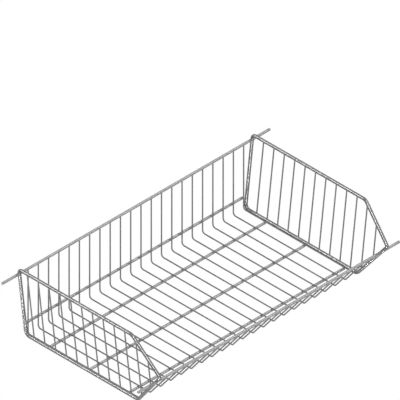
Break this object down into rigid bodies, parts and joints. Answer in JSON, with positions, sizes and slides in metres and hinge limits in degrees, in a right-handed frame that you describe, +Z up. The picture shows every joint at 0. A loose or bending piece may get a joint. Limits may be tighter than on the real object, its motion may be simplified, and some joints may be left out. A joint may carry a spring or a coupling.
{
  "type": "retail dump bin",
  "caption": "Open wire basket of a shop dump bin, with a low sloping front lip, outward leaning end frames and pins at both sides to hang it by.",
  "frame": {"origin": "bottom centre of the bounding box, on the plane that the three floor rods stand on", "axes": "+Z up; the low front lip faces -Y; +X to the right seen from the front, along the rods"},
  "size_m": [1, 0.5274, 0.239],
  "materials": {
    "coated_frame_wire": "dark grey powder coat, glossy, over 10 mm steel wire whose drawing lines show faintly",
    "coated_rod": "middle grey powder coat, satin, over 8 mm steel wire",
    "coated_mesh_wire": "dark grey powder coat, satin, over 4 mm steel wire"
  },
  "bodies": {
    "root": {"left_end_frame": "coated_frame_wire", "right_end_frame": "coated_frame_wire", "rear_top_rod": "coated_rod", "front_rod": "coated_rod", "rear_lower_rod": "coated_rod", "floor_rod_rear": "coated_rod", "floor_rod_middle": "coated_rod", "floor_rod_front": "coated_rod", "rear_left_hanging_pin": "coated_rod", "front_left_hanging_pin": "coated_rod", "rear_right_hanging_pin": "coated_rod", "front_right_hanging_pin": "coated_rod", "basket_wire_01": "coated_mesh_wire", "basket_wire_02": "coated_mesh_wire", "basket_wire_03": "coated_mesh_wire", "basket_wire_04": "coated_mesh_wire", "basket_wire_05": "coated_mesh_wire", "basket_wire_06": "coated_mesh_wire", "basket_wire_07": "coated_mesh_wire", "basket_wire_08": "coated_mesh_wire", "basket_wire_09": "coated_mesh_wire", "basket_wire_10": "coated_mesh_wire", "basket_wire_11": "coated_mesh_wire", "basket_wire_12": "coated_mesh_wire", "basket_wire_13": "coated_mesh_wire", "basket_wire_14": "coated_mesh_wire", "basket_wire_15": "coated_mesh_wire", "basket_wire_16": "coated_mesh_wire", "basket_wire_17": "coated_mesh_wire", "basket_wire_18": "coated_mesh_wire", "basket_wire_19": "coated_mesh_wire", "basket_wire_20": "coated_mesh_wire", "basket_wire_21": "coated_mesh_wire", "basket_wire_22": "coated_mesh_wire", "left_end_wire_01": "coated_mesh_wire", "left_end_wire_02": "coated_mesh_wire", "left_end_wire_03": "coated_mesh_wire", "left_end_wire_04": "coated_mesh_wire", "left_end_wire_05": "coated_mesh_wire", "left_end_wire_06": "coated_mesh_wire", "left_end_wire_07": "coated_mesh_wire", "left_end_wire_08": "coated_mesh_wire", "left_end_wire_09": "coated_mesh_wire", "left_end_wire_10": "coated_mesh_wire", "left_end_wire_11": "coated_mesh_wire", "left_end_wire_12": "coated_mesh_wire", "right_end_wire_01": "coated_mesh_wire", "right_end_wire_02": "coated_mesh_wire", "right_end_wire_03": "coated_mesh_wire", "right_end_wire_04": "coated_mesh_wire", "right_end_wire_05": "coated_mesh_wire", "right_end_wire_06": "coated_mesh_wire", "right_end_wire_07": "coated_mesh_wire", "right_end_wire_08": "coated_mesh_wire", "right_end_wire_09": "coated_mesh_wire", "right_end_wire_10": "coated_mesh_wire", "right_end_wire_11": "coated_mesh_wire", "right_end_wire_12": "coated_mesh_wire"}
  },
  "joints": []
}
